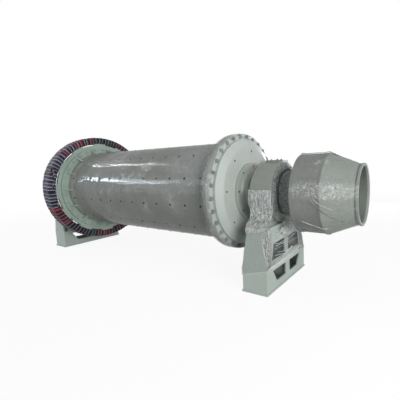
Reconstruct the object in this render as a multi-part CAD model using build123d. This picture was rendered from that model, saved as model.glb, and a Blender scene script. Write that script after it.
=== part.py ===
from build123d import *
import math
import os

os.makedirs("parts", exist_ok=True)

# Horizontal ball mill, in millimetres, standing on its two bearing pedestals.
# The origin is on the floor, under the middle of the feed pedestal. +X runs along the
# mill axis towards the feeder, +Z is up, and the drum turns about the mill axis.

# Shell
shell_inner_radius = 750.0
shell_wall = 16.0
shell_length = 3800.0
lining_thickness = 45.0
lining_clearance = 0.3
lifter_height = 35.0
lifter_width = 110.0
lifter_rows = 12
lifter_first_angle = 11.6

# Flanges that join the shell, the heads and the gear
flange_radius = 885.0
shell_flange_thickness = 54.0
gusset_thickness = 16.0
gusset_length = 170.0
gusset_edge = 12.0
gusset_margin = 30.0
gusset_count = 15
feed_gusset_first_angle = 7.5
gear_gusset_first_angle = 10.9

# Heads
head_flange_thickness = 54.0
head_boss_radius = 802.0
head_boss_height = 45.0
head_dish_radius = 688.0
head_dish_height = 100.0
head_hub_height = 105.0
head_wall = 62.0
head_spigot_depth = 20.0
head_spigot_clearance = 0.3
head_dish_round = 60.0
edge_round = 5.0

# Trunnions
trunnion_flange_radius = 440.0
trunnion_flange_thickness = 40.0
feed_bore_radius = 230.0
discharge_bore_radius = 245.0
trunnion_neck_radius = 288.0
trunnion_root_radius = 340.0
trunnion_root_length = 45.0
journal_radius = 300.0
journal_length = 400.0
collar_radius = 325.0
collar_width = 24.0
feed_neck_length = 520.0
discharge_neck_length = 710.0
trunnion_tail_length = 400.0
tail_flange_radius = 370.0
tail_flange_thickness = 36.0
trunnion_neck_round = 24.0

# Bearings
bearing_centre_height = 420.0
bearing_width = 340.0
bearing_radius = 440.0
bearing_wall = 26.0
bearing_edge_round = 14.0
bearing_eye_clearance = 12.0
liner_wall = 44.0
running_clearance = 0.4
seat_clearance = 0.3
split_flange_reach = 470.0
split_flange_thickness = 62.0
bearing_foot_reach = 500.0
bearing_foot_thickness = 48.0
bearing_foot_half_length = 126.0
saddle_top_reach = 300.0
saddle_foot_reach = 350.0
saddle_recess = 60.0
cover_boss_length = 190.0
cover_boss_width = 150.0
cover_boss_height = 16.0
cover_thickness = 12.0
cover_overhang = 8.0

# Pedestals
foot_length = 400.0
foot_half_width = 652.0
foot_thickness = 25.0
anchor_hole_radius = 21.0
anchor_edge_distance = 50.0
frame_half_length = 190.0
frame_half_width = 640.0
frame_plate = 25.0
rib_plate = 30.0
shelf_top = 350.0
shelf_thickness = 25.0
shelf_overhang = 3.0
lower_window_bottom = 117.0
lower_window_top = 290.0
lower_window_outer_top = 465.0
lower_window_outer_bottom = 355.0
window_inner_edge = 60.0
core_half_length = 172.0
core_half_width = 540.0
core_top_half_width = 500.0
upper_window_bottom = 425.0
upper_window_top = 655.0
upper_window_outer_bottom = 462.0
upper_window_outer_top = 405.0
wing_top_half_length = 101.0
top_plate_thickness = 40.0
top_plate_overhang = 10.0
bearing_seat_height = 890.0

# Girth gear and its cloth wrapping. The gear grows by whole pairs of teeth, so that it
# splits between two teeth and its windows stay outside the flange.
gear_module = 16.0
dedendum_share = 1.25
root_width_share = 0.36
tip_width_share = 0.13
gear_face_width = 230.0
gear_rim_wall = 42.0
gear_rim_setback = 10.0
gear_web_thickness = 50.0
gear_window_count = 12
gear_window_flange_clearance = 58.0
gear_window_height = 44.0
gear_window_rim_clearance = 22.0
gear_window_angle = 15.0
gear_rib_thickness = 20.0
gear_rib_setback = 30.0
gear_lug_thickness = 36.0
wrap_thickness = 26.0
wrap_clearance = 0.3
wrap_lip = 24.0

# Drum feeder
feeder_back_offset = 465.0
feeder_drum_length = 387.0
feeder_radius = 534.0
feeder_wall = 14.0
feeder_cone_length = 378.0
feeder_mouth_radius = 376.0
feeder_lip_radius = 396.0
feeder_lip_length = 26.0
feeder_rim_height = 8.0
feeder_rim_width = 22.0
feeder_flange_thickness = 24.0
feeder_neck_radius = 262.0

# Stretch film over the feed flange and its gussets
film_thickness = 4.0
film_clearance = 0.3
film_lap = 90.0
film_nut_room = 40.0
film_lip = 30.0

# One overrun serves every cut.
overrun = 10.0

# Places that follow from the sizes above
axis_height = bearing_seat_height + bearing_centre_height
feed_head_face = -feed_neck_length
feed_joint = feed_head_face - head_flange_thickness
gear_joint = feed_joint - shell_length
gear_web_back = gear_joint - gear_web_thickness
discharge_head_face = gear_web_back - head_flange_thickness
discharge_bearing_place = discharge_head_face - discharge_neck_length
shell_outer_radius = shell_inner_radius + shell_wall
liner_outer_radius = journal_radius + running_clearance + liner_wall
eye_radius = journal_radius + bearing_eye_clearance
cavity_length = bearing_width - bearing_wall - bearing_wall
gear_window_inner_radius = flange_radius + gear_window_flange_clearance
gear_window_outer_radius = gear_window_inner_radius + gear_window_height
gear_rim_needed = gear_window_outer_radius + gear_window_rim_clearance + gear_rim_wall
gear_tooth_pairs = math.ceil((gear_rim_needed + dedendum_share * gear_module) / gear_module)
gear_teeth = gear_tooth_pairs + gear_tooth_pairs
gear_pitch_radius = gear_module * gear_tooth_pairs
gear_tip_radius = gear_pitch_radius + gear_module
gear_root_radius = gear_pitch_radius - dedendum_share * gear_module
gear_rim_radius = gear_root_radius - gear_rim_wall


def spoke(outline, thickness):
    """A flat piece that points away from the mill axis, from (along the axis, radius) points."""
    face = make_face(Polyline(*outline, close=True))
    return extrude(face, amount=thickness / 2, both=True)


def export(solid, node):
    """Write one named piece as its own file."""
    export_step(solid, os.path.join("parts", node + ".step"))


def turned(*outline, rounded=()):
    """A solid turned about the mill axis from (place along the axis, radius) points.

    rounded lists the corners to round, each as its point and its radius.
    """
    face = make_face(Polyline(*outline, close=True))
    for place, radius in rounded:
        face = fillet(face.vertices().sort_by_distance(place)[0], radius)
    return revolve(face, Axis.X, 360.0)


def tube(start, end, outer, inner):
    """A plain ring or tube about the mill axis."""
    return turned((start, inner), (start, outer), (end, outer), (end, inner))


def block(x_low, x_high, y_low, y_high, z_low, z_high):
    """A box between two corners."""
    size = (x_high - x_low, y_high - y_low, z_high - z_low)
    place = (x_low, y_low, z_low)
    return Pos(*place) * Box(*size, align=(Align.MIN, Align.MIN, Align.MIN))


def centred_block(half_x, half_y, z_low, z_high):
    """A box centred on the pedestal's upright axis."""
    return block(-half_x, half_x, -half_y, half_y, z_low, z_high)


def plate_across(outline, x_low, x_high):
    """A plate that faces along the mill axis, cut from an outline of (across, up) points."""
    face = make_face(Polyline(*[(x_low, across, up) for across, up in outline], close=True))
    return extrude(face, amount=x_high - x_low, dir=(1, 0, 0))


def plate_along(outline, y_low, y_high):
    """A plate that faces across the mill axis, cut from an outline of (along, up) points."""
    face = make_face(Polyline(*[(along, y_low, up) for along, up in outline], close=True))
    return extrude(face, amount=y_high - y_low, dir=(0, 1, 0))


def on_axis(solid):
    """Lift a turned piece from the drawing origin to the mill axis."""
    return Pos(0, 0, axis_height) * solid


def at_discharge(solid):
    """Turn a piece of the feed end round to the discharge bearing."""
    return Pos(discharge_bearing_place, 0, 0) * Rot(0, 0, 180) * solid


# Shell, its lining and its two flanges

def mill_shell():
    return tube(gear_joint, feed_joint, shell_outer_radius, shell_inner_radius)


def shell_lining():
    outer = shell_inner_radius - lining_clearance
    inner = outer - lining_thickness
    start = gear_joint + head_spigot_depth + lining_clearance
    end = feed_joint - head_spigot_depth - lining_clearance
    lining = tube(start, end, outer, inner)
    crest = inner - lifter_height
    root = inner + lining_thickness / 2
    lifter = spoke([(start, crest), (start, root), (end, root), (end, crest)], lifter_width)
    for row in range(lifter_rows):
        lining += Rot(lifter_first_angle + row * 360.0 / lifter_rows, 0, 0) * lifter
    return lining


def shell_flange(joint, inward, first_gusset_angle):
    """A flange with gussets; inward is the direction from the joint face to the shell."""
    inner_face = joint + inward * shell_flange_thickness
    ring = turned(
        (joint, shell_outer_radius - overrun),
        (joint, flange_radius),
        (inner_face, flange_radius),
        (inner_face, shell_outer_radius - overrun),
        rounded=[((inner_face, flange_radius), edge_round)],
    )
    foot = inner_face + inward * gusset_length
    gusset = spoke(
        [
            (inner_face, shell_outer_radius - overrun),
            (foot, shell_outer_radius - overrun),
            (foot, shell_outer_radius + gusset_edge),
            (inner_face + inward * gusset_edge, flange_radius - gusset_margin),
            (inner_face, flange_radius - gusset_margin),
        ],
        gusset_thickness,
    )
    for place in range(gusset_count):
        ring += Rot(first_gusset_angle + place * 360.0 / gusset_count, 0, 0) * gusset
    low, high = sorted((joint - inward * overrun, foot + inward * overrun))
    return ring - tube(low, high, shell_outer_radius, 0)


# Heads and trunnions, drawn with the head's outer face at zero and outwards along +X

def head(bore_radius):
    spigot = shell_inner_radius - head_spigot_clearance
    back = -head_flange_thickness - head_spigot_depth
    dish_back = head_dish_radius - head_wall
    return turned(
        (-head_flange_thickness, flange_radius),
        (0, flange_radius),
        (0, head_boss_radius),
        (head_boss_height, head_boss_radius),
        (head_dish_height, head_dish_radius),
        (head_hub_height, trunnion_flange_radius),
        (head_hub_height, bore_radius),
        (head_hub_height - head_wall, bore_radius),
        (head_dish_height - head_wall, dish_back),
        (back, spigot - head_wall),
        (back, spigot),
        (-head_flange_thickness, spigot),
        rounded=[
            ((0, flange_radius), edge_round),
            ((head_boss_height, head_boss_radius), edge_round),
            ((head_dish_height, head_dish_radius), head_dish_round),
        ],
    )


def trunnion(neck_length, bore_radius):
    flange_front = head_hub_height + trunnion_flange_thickness
    journal_start = neck_length - journal_length / 2
    journal_end = neck_length + journal_length / 2
    tail = neck_length + trunnion_tail_length
    return turned(
        (head_hub_height, bore_radius),
        (head_hub_height, trunnion_flange_radius),
        (flange_front, trunnion_flange_radius),
        (flange_front, trunnion_root_radius),
        (flange_front + trunnion_root_length, trunnion_neck_radius),
        (journal_start - collar_width, trunnion_neck_radius),
        (journal_start - collar_width, collar_radius),
        (journal_start, collar_radius),
        (journal_start, journal_radius),
        (journal_end, journal_radius),
        (journal_end, trunnion_neck_radius),
        (tail - tail_flange_thickness, trunnion_neck_radius),
        (tail - tail_flange_thickness, tail_flange_radius),
        (tail, tail_flange_radius),
        (tail, bore_radius),
        rounded=[
            ((flange_front, trunnion_flange_radius), edge_round),
            ((flange_front + trunnion_root_length, trunnion_neck_radius), trunnion_neck_round),
            ((journal_start - collar_width, collar_radius), edge_round),
            ((tail - tail_flange_thickness, trunnion_neck_radius), edge_round),
            ((tail - tail_flange_thickness, tail_flange_radius), edge_round),
        ],
    )


# Girth gear, drawn about the origin with its web's joint face at zero and its body along -X

def gear_outline():
    """Straight-flanked teeth round the pitch circle, one tooth after another."""
    points = []
    for tooth in range(gear_teeth):
        middle = (tooth + 0.5) * 360.0 / gear_teeth
        for radius, side, share in (
            (gear_root_radius, -1, root_width_share),
            (gear_tip_radius, -1, tip_width_share),
            (gear_tip_radius, 1, tip_width_share),
            (gear_root_radius, 1, root_width_share),
        ):
            angle = math.radians(middle + side * share * 360.0 / gear_teeth)
            points.append((radius * math.cos(angle), radius * math.sin(angle)))
    return points


def girth_gear():
    rim_start = -gear_rim_setback - gear_face_width
    teeth = plate_across(gear_outline(), rim_start, -gear_rim_setback)
    hollow = tube(rim_start - overrun, overrun, gear_rim_radius, 0)
    web_rim = gear_root_radius - gear_rim_wall / 2
    web = tube(-gear_web_thickness, 0, web_rim, shell_inner_radius)
    cut_back = -gear_web_thickness - overrun
    ring = tube(cut_back, overrun, gear_window_outer_radius, gear_window_inner_radius)
    half_angle = math.radians(gear_window_angle / 2)
    reach = gear_window_outer_radius + overrun
    spread = reach * math.tan(half_angle)
    sector = plate_across([(0, 0), (-spread, reach), (spread, reach)], cut_back, overrun)
    window = ring & sector
    gear = (teeth - hollow) + web
    rib_outline = [
        (-gear_web_thickness / 2, gear_window_inner_radius),
        (-gear_web_thickness / 2, web_rim),
        (rim_start + gear_rib_setback, web_rim),
        (rim_start + gear_rib_setback, gear_rim_radius - gear_window_rim_clearance),
        (-gear_web_thickness, gear_window_inner_radius),
    ]
    rib = spoke(rib_outline, gear_rib_thickness)
    lug = spoke(rib_outline, gear_lug_thickness)
    for place in range(gear_window_count):
        spoke_angle = place * 360.0 / gear_window_count
        half_step = 180.0 / gear_window_count
        gear -= Rot(spoke_angle + half_step, 0, 0) * window
        on_split = place % (gear_window_count // 2) == gear_window_count // 4
        gear += Rot(spoke_angle, 0, 0) * (lug if on_split else rib)
    return gear


def gear_half(upper):
    reach = gear_tip_radius + overrun
    depth = gear_rim_setback + gear_face_width + overrun
    low, high = (0, reach) if upper else (-reach, 0)
    keep = block(-depth, overrun, -reach, reach, low, high)
    return girth_gear() & keep


def gear_cloth_wrap():
    """A ring of cloth round the rim, over the web in front and tucked in short of the ribs."""
    rim_near = -gear_rim_setback
    rim_far = rim_near - gear_face_width
    inner = gear_tip_radius + wrap_clearance
    outer = inner + wrap_thickness
    lip_outer = gear_rim_radius - wrap_clearance
    lip_inner = lip_outer - wrap_lip
    near_face = wrap_clearance + wrap_thickness
    far_face = rim_far - wrap_clearance - wrap_thickness
    web_front = wrap_clearance
    tuck_end = rim_far + gear_rib_setback - wrap_clearance
    rim_front = rim_near + wrap_clearance
    cover = turned(
        (near_face, lip_inner),
        (near_face, outer),
        (far_face, outer),
        (far_face, lip_inner),
        (tuck_end, lip_inner),
        (tuck_end, lip_outer),
        (rim_far - wrap_clearance, lip_outer),
        (rim_far - wrap_clearance, inner),
        (rim_front, inner),
        (rim_front, gear_root_radius - gear_rim_wall / 2 + wrap_clearance),
        (web_front, gear_root_radius - gear_rim_wall / 2 + wrap_clearance),
        (web_front, lip_inner),
    )
    return cover


# Drum feeder

def feeder_back_plate():
    tail = trunnion_tail_length
    flange_front = tail + feeder_flange_thickness
    plate_front = feeder_back_offset + feeder_wall
    inner_radius = feeder_radius - feeder_wall
    return turned(
        (tail, feed_bore_radius),
        (tail, tail_flange_radius),
        (flange_front, tail_flange_radius),
        (flange_front, feeder_neck_radius),
        (feeder_back_offset, feeder_neck_radius),
        (feeder_back_offset, inner_radius),
        (plate_front, inner_radius),
        (plate_front, feed_bore_radius),
    )


def feeder_drum():
    start = feeder_back_offset
    end = start + feeder_drum_length
    inner = feeder_radius - feeder_wall
    drum = tube(start, end, feeder_radius, inner)
    rim = feeder_radius + feeder_rim_height
    drum += tube(start, start + feeder_rim_width, rim, feeder_radius - feeder_wall / 2)
    drum += tube(end - feeder_rim_width, end, rim, feeder_radius - feeder_wall / 2)
    return drum


def feeder_cone():
    start = feeder_back_offset + feeder_drum_length
    end = start + feeder_cone_length
    return turned(
        (start, feeder_radius - feeder_wall),
        (start, feeder_radius),
        (end, feeder_mouth_radius),
        (end, feeder_mouth_radius - feeder_wall),
    )


def feeder_mouth_ring():
    start = feeder_back_offset + feeder_drum_length + feeder_cone_length
    return tube(start, start + feeder_lip_length, feeder_lip_radius, feeder_mouth_radius - feeder_wall)


# Bearings, drawn at the feed pedestal

def bearing_hollow():
    """The oil space between the end walls and the eyes that the journal passes through."""
    half = bearing_width / 2
    eyes = tube(-half - overrun, half + overrun, eye_radius, 0)
    seat = tube(-cavity_length / 2, cavity_length / 2, liner_outer_radius + seat_clearance, 0)
    return eyes + seat


def bearing_body():
    """The drum form that the base and the cap share."""
    half = bearing_width / 2
    return turned(
        (-half, 0),
        (-half, bearing_radius),
        (half, bearing_radius),
        (half, 0),
        rounded=[
            ((-half, bearing_radius), bearing_edge_round),
            ((half, bearing_radius), bearing_edge_round),
        ],
    )


def bearing_base():
    half = bearing_width / 2
    body = bearing_body()
    flange = block(-half, half, -split_flange_reach, split_flange_reach, -split_flange_thickness, 0)
    foot = block(
        -bearing_foot_half_length,
        bearing_foot_half_length,
        -bearing_foot_reach,
        bearing_foot_reach,
        -bearing_centre_height,
        bearing_foot_thickness - bearing_centre_height,
    )
    saddle = plate_across(
        [
            (-saddle_foot_reach, -bearing_centre_height),
            (saddle_foot_reach, -bearing_centre_height),
            (saddle_top_reach, -liner_outer_radius / 2),
            (-saddle_top_reach, -liner_outer_radius / 2),
        ],
        saddle_recess - half,
        half - saddle_recess,
    )
    reach = half + overrun
    above = block(-reach, reach, -split_flange_reach, split_flange_reach, 0, split_flange_reach)
    below = block(
        -reach,
        reach,
        -split_flange_reach,
        split_flange_reach,
        -split_flange_reach,
        -bearing_centre_height,
    )
    base = (body - above - below) + flange + saddle + foot
    return on_axis(base) - on_axis(bearing_hollow())


def bearing_liner():
    half = cavity_length / 2 - seat_clearance
    ring = tube(-half, half, liner_outer_radius, journal_radius + running_clearance)
    reach = liner_outer_radius + overrun
    lower = block(-half, half, -reach, reach, -reach, 0)
    return on_axis(ring & lower)


def bearing_cap():
    half = bearing_width / 2
    body = bearing_body()
    flange = block(-half, half, -split_flange_reach, split_flange_reach, 0, split_flange_thickness)
    boss = block(
        -cover_boss_length / 2,
        cover_boss_length / 2,
        -cover_boss_width / 2,
        cover_boss_width / 2,
        bearing_radius - bearing_wall,
        bearing_radius + cover_boss_height,
    )
    inner = bearing_radius - bearing_wall
    oil_space = tube(-cavity_length / 2, cavity_length / 2, inner, 0)
    top = bearing_radius + cover_boss_height
    upper = block(-half, half, -split_flange_reach, split_flange_reach, 0, top)
    return on_axis((body + flange + boss) & upper) - on_axis(oil_space) - on_axis(bearing_hollow())


def bearing_cover():
    top = axis_height + bearing_radius + cover_boss_height
    half_x = cover_boss_length / 2 + cover_overhang
    half_y = cover_boss_width / 2 + cover_overhang
    return centred_block(half_x, half_y, top, top + cover_thickness)


# Pedestals, drawn at the feed end

def pedestal_foot():
    plate = centred_block(foot_length / 2, foot_half_width, 0, foot_thickness)
    hole = Cylinder(anchor_hole_radius, foot_thickness + overrun + overrun)
    for side_x in (-1, 1):
        for side_y in (-1, 1):
            x = side_x * (foot_length / 2 - anchor_edge_distance)
            y = side_y * (foot_half_width - frame_plate - anchor_edge_distance)
            plate -= Pos(x, y, foot_thickness / 2) * hole
    return plate


def mirrored_windows(outline, half_length):
    """The same window cut through both end plates, left and right of the middle post."""
    mirrored = [(-across, up) for across, up in outline]
    right = plate_across(outline, -half_length - overrun, half_length + overrun)
    left = plate_across(mirrored, -half_length - overrun, half_length + overrun)
    return right + left


def pedestal_lower_frame():
    low = foot_thickness
    high = shelf_top - shelf_thickness
    outer = centred_block(frame_half_length, frame_half_width, low, high)
    inner = centred_block(
        frame_half_length - frame_plate, frame_half_width - frame_plate, low - overrun, high + overrun
    )
    windows = mirrored_windows(
        [
            (window_inner_edge, lower_window_bottom),
            (lower_window_outer_bottom, lower_window_bottom),
            (lower_window_outer_top, lower_window_top),
            (window_inner_edge, lower_window_top),
        ],
        frame_half_length,
    )
    rib = centred_block(frame_half_length - frame_plate, rib_plate / 2, low, high)
    return (outer - inner - windows) + rib


def pedestal_shelf():
    return centred_block(
        frame_half_length + shelf_overhang,
        frame_half_width + shelf_overhang,
        shelf_top - shelf_thickness,
        shelf_top,
    )


def core_outline(inset, low, high):
    """The core seen along the mill: wide at its foot and narrower under the top plate."""
    foot = core_half_width - inset
    top = core_top_half_width - inset
    return [(-foot, low), (foot, low), (top, high), (-top, high)]


def pedestal_upper_frame():
    low = shelf_top
    high = bearing_seat_height - top_plate_thickness
    outer = plate_across(core_outline(0, low, high), -core_half_length, core_half_length)
    inner_half_length = core_half_length - frame_plate
    inner = plate_across(core_outline(frame_plate, low, high), -inner_half_length, inner_half_length)
    windows = mirrored_windows(
        [
            (window_inner_edge, upper_window_bottom),
            (upper_window_outer_bottom, upper_window_bottom),
            (upper_window_outer_top, upper_window_top),
            (window_inner_edge, upper_window_top),
        ],
        core_half_length,
    )
    frame = outer - inner - windows
    frame += centred_block(inner_half_length, rib_plate / 2, low, high)
    wing = [
        (-frame_half_length, low),
        (frame_half_length, low),
        (wing_top_half_length, high),
        (-wing_top_half_length, high),
    ]
    wing_inner = frame_half_width - frame_plate
    frame += plate_along(wing, wing_inner, frame_half_width)
    frame += plate_along(wing, -frame_half_width, -wing_inner)
    for side in (-1, 1):
        rib = plate_across(
            [
                (side * (core_half_width - frame_plate / 2), low),
                (side * wing_inner, low),
                (side * wing_inner, high),
                (side * (core_top_half_width - frame_plate / 2), high),
            ],
            -rib_plate / 2,
            rib_plate / 2,
        )
        frame += rib
    return frame


def pedestal_top_plate():
    """A plate that follows the core, with narrower ends over the wings."""
    low = bearing_seat_height - top_plate_thickness
    core = centred_block(
        core_half_length + top_plate_overhang,
        core_top_half_width + top_plate_overhang,
        low,
        bearing_seat_height,
    )
    ends = centred_block(
        wing_top_half_length + top_plate_overhang,
        frame_half_width + top_plate_overhang,
        low,
        bearing_seat_height,
    )
    return core + ends


# Stretch film, drawn tight over the gussets and nuts of the feed flange

def feed_flange_film():
    """A cone of wound film from the shell up to the flange's rim, with a lip on the head."""
    inner_face = feed_joint - shell_flange_thickness
    foot = inner_face - gusset_length
    skin = shell_outer_radius + film_clearance
    rim = flange_radius + film_clearance
    front = feed_head_face + film_clearance
    inside = [
        (foot - film_lap, skin),
        (foot - gusset_edge, skin),
        (foot, skin + gusset_edge),
        (inner_face - film_nut_room, rim - film_thickness),
        (inner_face, rim),
        (front, rim),
    ]
    outside = [(place, radius + film_thickness) for place, radius in inside]
    lip = [
        (front + film_thickness, rim + film_thickness),
        (front + film_thickness, flange_radius - film_lip),
        (front, flange_radius - film_lip),
    ]
    return turned(*outside[:-1], *lip, *reversed(inside))


# Drum pieces
export(on_axis(mill_shell()), "mill_shell")
export(on_axis(shell_lining()), "shell_lining")
feed_flange = shell_flange(feed_joint, -1, feed_gusset_first_angle)
gear_flange = shell_flange(gear_joint, 1, gear_gusset_first_angle)
export(on_axis(feed_flange), "feed_shell_flange")
export(on_axis(gear_flange), "gear_shell_flange")
feed_end = Pos(feed_head_face, 0, axis_height)
discharge_end = Pos(discharge_head_face, 0, axis_height) * Rot(0, 0, 180)
export(feed_end * head(feed_bore_radius), "feed_head")
export(discharge_end * head(discharge_bore_radius), "discharge_head")
export(feed_end * trunnion(feed_neck_length, feed_bore_radius), "feed_trunnion")
export(discharge_end * trunnion(discharge_neck_length, discharge_bore_radius), "discharge_trunnion")
export(on_axis(Pos(gear_joint, 0, 0) * gear_half(True)), "girth_gear_upper_half")
export(on_axis(Pos(gear_joint, 0, 0) * gear_half(False)), "girth_gear_lower_half")
export(on_axis(Pos(gear_joint, 0, 0) * gear_cloth_wrap()), "gear_cloth_wrap")
export(on_axis(feed_flange_film()), "feed_flange_film")
export(on_axis(feeder_back_plate()), "feeder_back_plate")
export(on_axis(feeder_drum()), "feeder_drum")
export(on_axis(feeder_cone()), "feeder_cone")
export(on_axis(feeder_mouth_ring()), "feeder_mouth_ring")

# Fixed pieces, the same at both ends
standing_pieces = {
    "pedestal_foot": pedestal_foot(),
    "pedestal_lower_frame": pedestal_lower_frame(),
    "pedestal_shelf": pedestal_shelf(),
    "pedestal_upper_frame": pedestal_upper_frame(),
    "pedestal_top_plate": pedestal_top_plate(),
    "bearing_base": bearing_base(),
    "bearing_liner": bearing_liner(),
    "bearing_cap": bearing_cap(),
    "bearing_cover": bearing_cover(),
}
for name, solid in standing_pieces.items():
    export(solid, "feed_" + name)
    export(at_discharge(solid), "discharge_" + name)
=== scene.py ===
"""Looks of the horizontal ball mill: paint, fasteners, wound cloth, stretch film, light and camera.

Lengths are in metres. +X runs along the mill axis towards the feeder and +Z is up. Angles about
the mill axis are in degrees, from +Y towards +Z.
"""
import random
from math import copysign, cos, degrees, dist, hypot, pi, radians, sin, tau

import bpy
from mathutils import Matrix, Vector, noise

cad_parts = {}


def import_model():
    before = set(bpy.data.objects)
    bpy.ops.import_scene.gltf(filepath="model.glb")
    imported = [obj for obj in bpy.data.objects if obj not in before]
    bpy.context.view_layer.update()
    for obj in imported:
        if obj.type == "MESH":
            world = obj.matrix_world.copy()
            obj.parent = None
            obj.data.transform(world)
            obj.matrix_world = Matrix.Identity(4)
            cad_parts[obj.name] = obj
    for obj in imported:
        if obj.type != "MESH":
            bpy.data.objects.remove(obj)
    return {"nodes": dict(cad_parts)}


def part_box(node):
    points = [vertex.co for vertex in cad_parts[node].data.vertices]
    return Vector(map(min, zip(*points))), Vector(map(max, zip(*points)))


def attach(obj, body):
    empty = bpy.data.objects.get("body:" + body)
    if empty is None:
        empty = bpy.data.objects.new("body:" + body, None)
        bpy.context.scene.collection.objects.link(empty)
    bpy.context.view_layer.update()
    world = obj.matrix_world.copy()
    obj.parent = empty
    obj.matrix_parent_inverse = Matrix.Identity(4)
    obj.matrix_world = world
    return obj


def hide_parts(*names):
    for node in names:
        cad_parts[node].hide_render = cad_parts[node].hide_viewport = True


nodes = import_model()["nodes"]
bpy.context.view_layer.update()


def half_width(node):
    """Half of what a CAD node measures across the mill."""
    low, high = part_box(node)
    return (high[1] - low[1]) / 2


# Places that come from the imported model
shell_low, shell_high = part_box("mill_shell")
axis_height = (shell_low[2] + shell_high[2]) / 2
shell_radius = half_width("mill_shell")
gear_joint = shell_low[0]
feed_joint = shell_high[0]
flange_radius = half_width("feed_shell_flange")
wrap_low, wrap_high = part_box("gear_cloth_wrap")
drum_low, drum_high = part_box("feeder_drum")
feeder_rim = half_width("feeder_drum")
mouth_low, mouth_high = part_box("feeder_mouth_ring")
mouth_rim = half_width("feeder_mouth_ring")
cap_low, cap_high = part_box("feed_bearing_cap")
cover_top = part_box("feed_bearing_cover")[1][2]
seat_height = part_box("feed_bearing_base")[0][2]
plate_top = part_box("feed_pedestal_top_plate")[1][2]
upper_low, upper_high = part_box("feed_pedestal_upper_frame")
shelf_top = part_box("feed_pedestal_shelf")[1][2]
far_low, far_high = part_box("discharge_pedestal_top_plate")
far_place = (far_low[0] + far_high[0]) / 2

# Sizes of the model that its boxes don't give
flange_thickness = 0.054
gear_web = 0.05
head_dish_height = 0.1
head_hub_height = 0.105
trunnion_flange_thickness = 0.04
gusset_length = 0.17
gusset_edge = 0.012
gusset_count = 15
feed_gusset_angle = 7.5
bearing_radius = 0.44
tail_flange_radius = 0.37
tail_flange_thickness = 0.036
back_plate_thickness = 0.024
back_plate_distance = 0.065
feeder_radius = 0.534
feeder_mouth_radius = 0.376
core_half_length = 0.172
core_half_width = 0.54
core_top_half_width = 0.5
bearing_foot_half_length = 0.126
wing_top_half_length = 0.101
frame_half_length = 0.19
frame_half_width = 0.64
frame_wall = 0.004
window_reach = 0.47
foot_height = 0.048
neck_film_radius = 0.345
neck_radius = 0.318
neck_film_gap = 0.05
rim_inner = 0.9857

# Faces of the flanges on their places along the mill axis
feed_back = feed_joint - flange_thickness
feed_face = feed_joint + flange_thickness
discharge_face = gear_joint - gear_web - flange_thickness
tail_face = drum_low[0] - back_plate_distance

# Depths of relief that is only in the materials, and the blur of a painted edge
peel_depth = 0.0012
mark_depth = 0.0008
weave_depth = 0.006
crinkle_depth = 0.006
band_blur = 0.004

# Fasteners
liner_rows = 12
liner_row_angle = 11.6
liner_bolts_in_row = 12
liner_end_distance = 0.217
liner_bolt_radius = 0.0155
head_bolt_radius = 0.0115
head_bolt_lift = 0.0015
flange_bolt_count = 30
flange_bolt_circle = 0.847
feed_bolt_size = 0.029
feed_bolt_angle = 1.5
gear_bolt_size = 0.027
gear_bolt_angle = 4.9
head_bolt_count = 8
head_bolt_circle = 0.62
trunnion_bolt_circle = 0.389
head_bolt_angle = 40.3
tail_bolt_count = 12
tail_bolt_size = 0.024
tail_bolt_circle = 0.33
tail_bolt_angle = 15
foot_bolt_size = 0.032
foot_bolt_x = 0.08
foot_bolt_y = 0.44
cover_bolt_size = 0.012
cover_bolt_x = 0.082
cover_bolt_y = 0.062

# Stretch film: the small steps that its edges, bends and folds share come first
film_gap = 0.003
edge_gap = 0.004
film_bend = 0.006
film_fold = 0.01
film_hem = 0.02
film_slope = 0.03
film_rise = 0.07
film_start = 0.232
film_arcs = 300
film_step = 0.0165
film_pitch = 0.255
tent_height = 0.006
tent_core = 0.018
tent_reach = 0.045
clear_core = 0.02
clear_reach = 0.036
film_nut_room = 0.04
film_lap = 0.09
film_lip = 0.046
film_face_gap = 0.007
node_film = 0.0046
neck_flare_length = 0.04
neck_flare_height = 0.05
drum_rim_length = 0.024
cone_start_length = 0.06
mouth_flare_height = 0.022
bearing_film_hang = 0.075
bearing_tuck = 0.085
bearing_near_edge = 0.055
base_neck_inset = 0.046
base_neck_height = 0.17
cap_flange_below = 0.066
cap_flange_above = 0.064
bulge_height = 0.34
fold_gap = 0.005
weld_distance = 0.0001
hair_gap = 0.002
cover_gap = 0.001
narrow_film_height = 0.09
end_film_reach = 0.3
slant_width = 0.1
shell_ruffle = (0.0008, 0.003)
feeder_ruffle = (0.0012, 0.0034)
rim_ruffle = 0.002
bearing_ruffle = 0.0045
film_turn_rise = 0.0012
neck_crease = 0.008
shelf_lap = 0.012
film_slant = 0.105

# Cloth strips
strip_pitch_angle = 3.75
strip_overlap_share = 0.42
strip_around = 44
strip_across = 7
strip_gap = 0.003
strip_rise = 0.017
strip_crown = 0.0075
strip_crease = 0.006
rim_inset_x = 0.024
rim_inset_outer = 0.026
rim_corner = 0.03
section_cut = 0.032

# Strands and the bunch of loose film: their ranges across, up and about the mill axis
fan_start_range = ((0, 0.06), (0, 0.03))
fan_end_range = ((0.1, frame_half_width), (0.3, 0.5))
band_height_range = (0.5, 0.78)
band_height_change = (-0.02, 0.02)
band_start_range = (-0.46, -0.3)
band_end_range = ((0.15, 0.58), (-0.12, 0.14))
band_sag_range = (0, 0.03)
shelf_start_range = (-frame_half_width, -0.3)
shelf_start_height = (0.335, 0.375)
shelf_end_range = ((0.2, frame_half_width), (0.34, 0.43))
shelf_sag_range = (-0.012, 0.004)
strand_gap = 0.014
strand_width = 0.013
low_edge_side_gap = 0.012
rim_strand_angles = (20, 165)
rim_strand_reach = (6, 22)
rim_strand_start = (0.872, 0.886)
rim_strand_end = (0.8, 0.872)
bunch_y_range = (-0.26, 0.3)
bunch_z_range = (0.66, 0.98)
bunch_fold = 0.04
bunch_bulge = 0.018
bunch_slide = 0.05

random.seed(7)


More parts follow.
